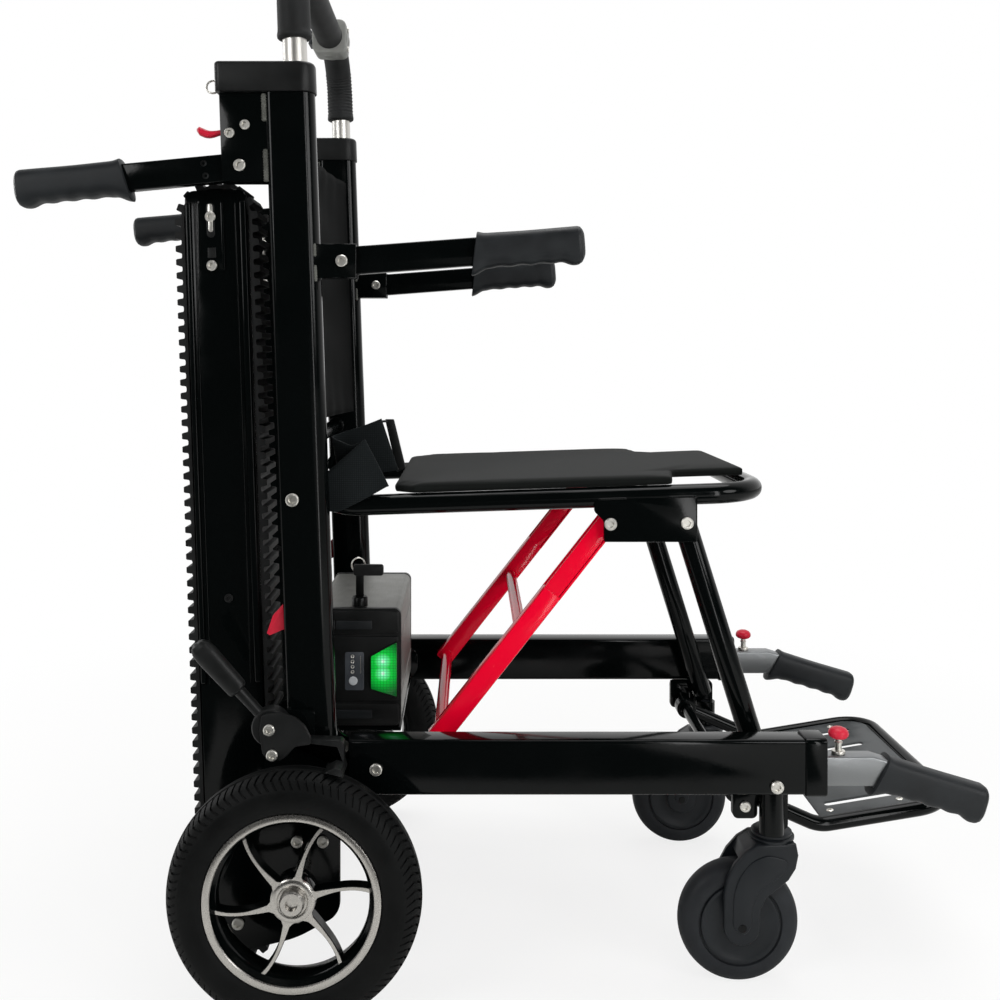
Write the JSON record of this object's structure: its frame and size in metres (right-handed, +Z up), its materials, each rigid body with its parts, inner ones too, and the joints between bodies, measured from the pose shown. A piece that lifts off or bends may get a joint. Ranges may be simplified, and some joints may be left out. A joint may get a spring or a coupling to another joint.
{
  "type": "stair climbing chair",
  "caption": "Folding stair climbing transit chair: posts with powered crawler tracks behind, sling seat, lift and push handles, footrest, main wheels and swivel casters.",
  "frame": {"origin": "middle of the footprint box, on the floor", "axes": "+Z up, +X the way the sitter faces, +Y to the sitter's left"},
  "size_m": [1.005, 0.542, 1.102],
  "materials": {
    "black_paint_aluminium": "gloss black enamel over welded tube",
    "red_paint_aluminium": "gloss red enamel over square tube",
    "black_plastic": "satin moulded",
    "grey_plastic": "charcoal, fine moulded texture",
    "soft_grip": "matte sleeve",
    "red_plastic": "red moulded",
    "tyre_rubber": "treaded rubber",
    "belt_rubber": "toothed belt",
    "rim_aluminium": "black with machined edges",
    "bare_aluminium": "brushed",
    "axle_steel": "bright steel",
    "chrome_tube": "polished tube",
    "roller_plastic": "nylon rollers on a shaft",
    "seat_fabric": "black woven",
    "webbing": "black webbing",
    "green_lens": "lit lens"
  },
  "bodies": {
    "frame": {"post_right": "black_paint_aluminium", "post_left": "black_paint_aluminium", "post_cap_right": "black_plastic", "post_cap_left": "black_plastic", "crossbar": "black_paint_aluminium", "back_panel": "seat_fabric", "wheel_axle": "axle_steel", "battery_case": "black_plastic", "battery_lamp": "green_lens", "battery_tray": "black_paint_aluminium"},
    "push_handle": {"push_handle_tube": "chrome_tube", "push_grip_right": "soft_grip", "push_grip_left": "soft_grip", "control_pod": "black_plastic"},
    "drive_switch": {"drive_switch": "grey_plastic"},
    "seat": {"seat_frame": "black_paint_aluminium", "seat_pad": "seat_fabric", "lap_belt": "webbing"},
    "legs": {"front_leg_right": "black_paint_aluminium", "front_leg_left": "black_paint_aluminium"},
    "strut": {"strut_frame": "red_paint_aluminium"},
    "lower_frame": {"rail_right": "black_paint_aluminium", "rail_left": "black_paint_aluminium", "footrest_rod": "black_paint_aluminium"},
    "footrest": {"footrest_loop": "black_paint_aluminium", "footrest_plate": "black_paint_aluminium"},
    "tracks": {"track_frame": "black_paint_aluminium", "track_belt_right": "belt_rubber", "track_belt_left": "belt_rubber", "drive_unit": "bare_aluminium"},
    "drive_rollers": {"drive_shaft": "roller_plastic"},
    "idlers": {"idler_shaft": "roller_plastic"},
    "battery_button": {"battery_button": "grey_plastic"},
    "battery_key": {"battery_key": "black_plastic"},
    "rear_handle_right": {"rear_handle_right": "black_paint_aluminium", "rear_grip_right": "grey_plastic"},
    "armrest_right": {"armrest_bar_right": "black_paint_aluminium", "armrest_grip_right": "grey_plastic"},
    "release_lever_right": {"release_lever_right": "red_plastic"},
    "lift_handle_right": {"lift_bar_right": "bare_aluminium", "lift_grip_right": "grey_plastic"},
    "lift_knob_right": {"lift_knob_right": "red_plastic"},
    "caster_fork_right": {"caster_fork_right": "grey_plastic"},
    "caster_wheel_right": {"caster_wheel_right": "grey_plastic"},
    "wheel_right": {"tyre_right": "tyre_rubber", "rim_right": "rim_aluminium"},
    "brake_lever_right": {"brake_lever_right": "black_plastic"},
    "rear_handle_left": {"rear_handle_left": "black_paint_aluminium", "rear_grip_left": "grey_plastic"},
    "armrest_left": {"armrest_bar_left": "black_paint_aluminium", "armrest_grip_left": "grey_plastic"},
    "release_lever_left": {"release_lever_left": "red_plastic"},
    "lift_handle_left": {"lift_bar_left": "bare_aluminium", "lift_grip_left": "grey_plastic"},
    "lift_knob_left": {"lift_knob_left": "red_plastic"},
    "caster_fork_left": {"caster_fork_left": "grey_plastic"},
    "caster_wheel_left": {"caster_wheel_left": "grey_plastic"},
    "wheel_left": {"tyre_left": "tyre_rubber", "rim_left": "rim_aluminium"},
    "brake_lever_left": {"brake_lever_left": "black_plastic"}
  },
  "joints": [
    {"name": "push_handle_slide", "type": "slide", "parent": "frame", "child": "push_handle", "axis": [-0.0352, 0, 0.9994], "range_m": [0, 0.2]},
    {"name": "drive_switch_rock", "type": "hinge", "parent": "push_handle", "child": "drive_switch", "pos_m": [-0.23981, 0.117, 1.08], "axis": [0, 1, 0], "range_deg": [-8, 8], "stiffness_Nm_per_rad": 0.05},
    {"name": "seat_fold", "type": "hinge", "parent": "frame", "child": "seat", "pos_m": [-0.21436, 0, 0.515], "axis": [0, -1, 0], "range_deg": [0, 65], "deforming": ["lap_belt"]},
    {"name": "leg_fold", "type": "hinge", "parent": "seat", "child": "legs", "pos_m": [0.19564, 0, 0.486], "axis": [0, -1, 0], "range_deg": [-65, 0]},
    {"name": "strut_fold", "type": "hinge", "parent": "seat", "child": "strut", "pos_m": [0.11514, 0, 0.485], "axis": [0, -1, 0], "range_deg": [-28, 0]},
    {"name": "rail_fold", "type": "hinge", "parent": "frame", "child": "lower_frame", "pos_m": [-0.12886, 0, 0.2395], "axis": [0, -1, 0], "range_deg": [0, 65]},
    {"name": "footrest_fold", "type": "hinge", "parent": "lower_frame", "child": "footrest", "pos_m": [0.25564, 0, 0.19], "axis": [0, -1, 0], "range_deg": [0, 85]},
    {"name": "track_swing", "type": "hinge", "parent": "frame", "child": "tracks", "pos_m": [-0.27636, 0, 0.066], "axis": [0, -1, 0], "range_deg": [0, 70]},
    {"name": "drive_spin", "type": "hinge", "parent": "tracks", "child": "drive_rollers", "pos_m": [-0.27636, 0, 0.066], "axis": [0, 1, 0], "continuous": true},
    {"name": "idler_spin", "type": "hinge", "parent": "tracks", "child": "idlers", "pos_m": [-0.30136, 0, 0.805], "axis": [0, 1, 0], "continuous": true},
    {"name": "battery_button_push", "type": "slide", "parent": "frame", "child": "battery_button", "axis": [0, 1, 0], "range_m": [0, 0.001], "stiffness_N_per_m": 500},
    {"name": "battery_key_turn", "type": "hinge", "parent": "frame", "child": "battery_key", "pos_m": [-0.15836, -0.086, 0.378], "axis": [0, 0, 1], "range_deg": [0, 90]},
    {"name": "rear_handle_fold_right", "type": "hinge", "parent": "frame", "child": "rear_handle_right", "pos_m": [-0.26886, -0.2, 0.8575], "axis": [0, -1, 0], "range_deg": [0, 80]},
    {"name": "armrest_fold_right", "type": "hinge", "parent": "frame", "child": "armrest_right", "pos_m": [-0.16436, -0.2, 0.7595], "axis": [0, -1, 0], "range_deg": [0, 85]},
    {"name": "release_turn_right", "type": "hinge", "parent": "frame", "child": "release_lever_right", "pos_m": [-0.27916, -0.2, 0.8905], "axis": [0, 1, 0], "range_deg": [0, 30]},
    {"name": "lift_slide_right", "type": "slide", "parent": "lower_frame", "child": "lift_handle_right", "axis": [1, 0, 0], "range_m": [0, 0.15]},
    {"name": "lift_knob_pull_right", "type": "slide", "parent": "lift_handle_right", "child": "lift_knob_right", "axis": [0, 0, 1], "range_m": [0, 0.008], "stiffness_N_per_m": 800},
    {"name": "caster_swivel_right", "type": "hinge", "parent": "lower_frame", "child": "caster_fork_right", "pos_m": [0.28844, -0.166, 0.16], "axis": [0, 0, 1], "continuous": true},
    {"name": "caster_spin_right", "type": "hinge", "parent": "caster_fork_right", "child": "caster_wheel_right", "pos_m": [0.25194, -0.166, 0.0635], "axis": [0, 1, 0], "continuous": true},
    {"name": "wheel_spin_right", "type": "hinge", "parent": "frame", "child": "wheel_right", "pos_m": [-0.20686, -0.246, 0.127], "axis": [0, 1, 0], "continuous": true},
    {"name": "brake_turn_right", "type": "hinge", "parent": "frame", "child": "brake_lever_right", "pos_m": [-0.23336, -0.2203, 0.2885], "axis": [0, -1, 0], "range_deg": [0, 30]},
    {"name": "rear_handle_fold_left", "type": "hinge", "parent": "frame", "child": "rear_handle_left", "pos_m": [-0.26886, 0.2, 0.8575], "axis": [0, -1, 0], "range_deg": [0, 80]},
    {"name": "armrest_fold_left", "type": "hinge", "parent": "frame", "child": "armrest_left", "pos_m": [-0.16436, 0.2, 0.7595], "axis": [0, -1, 0], "range_deg": [0, 85]},
    {"name": "release_turn_left", "type": "hinge", "parent": "frame", "child": "release_lever_left", "pos_m": [-0.27916, 0.2, 0.8905], "axis": [0, 1, 0], "range_deg": [0, 30]},
    {"name": "lift_slide_left", "type": "slide", "parent": "lower_frame", "child": "lift_handle_left", "axis": [1, 0, 0], "range_m": [0, 0.15]},
    {"name": "lift_knob_pull_left", "type": "slide", "parent": "lift_handle_left", "child": "lift_knob_left", "axis": [0, 0, 1], "range_m": [0, 0.008], "stiffness_N_per_m": 800},
    {"name": "caster_swivel_left", "type": "hinge", "parent": "lower_frame", "child": "caster_fork_left", "pos_m": [0.28844, 0.166, 0.16], "axis": [0, 0, 1], "continuous": true},
    {"name": "caster_spin_left", "type": "hinge", "parent": "caster_fork_left", "child": "caster_wheel_left", "pos_m": [0.25194, 0.166, 0.0635], "axis": [0, 1, 0], "continuous": true},
    {"name": "wheel_spin_left", "type": "hinge", "parent": "frame", "child": "wheel_left", "pos_m": [-0.20686, 0.246, 0.127], "axis": [0, 1, 0], "continuous": true},
    {"name": "brake_turn_left", "type": "hinge", "parent": "frame", "child": "brake_lever_left", "pos_m": [-0.23336, 0.2203, 0.2885], "axis": [0, -1, 0], "range_deg": [0, 30]}
  ],
  "couplings": [
    {"joint": "leg_fold", "follows": "seat_fold", "ratio": -1},
    {"joint": "strut_fold", "follows": "seat_fold", "ratio": -0.43},
    {"joint": "rail_fold", "follows": "seat_fold", "ratio": 1},
    {"joint": "idler_spin", "follows": "drive_spin", "ratio": 1}
  ]
}
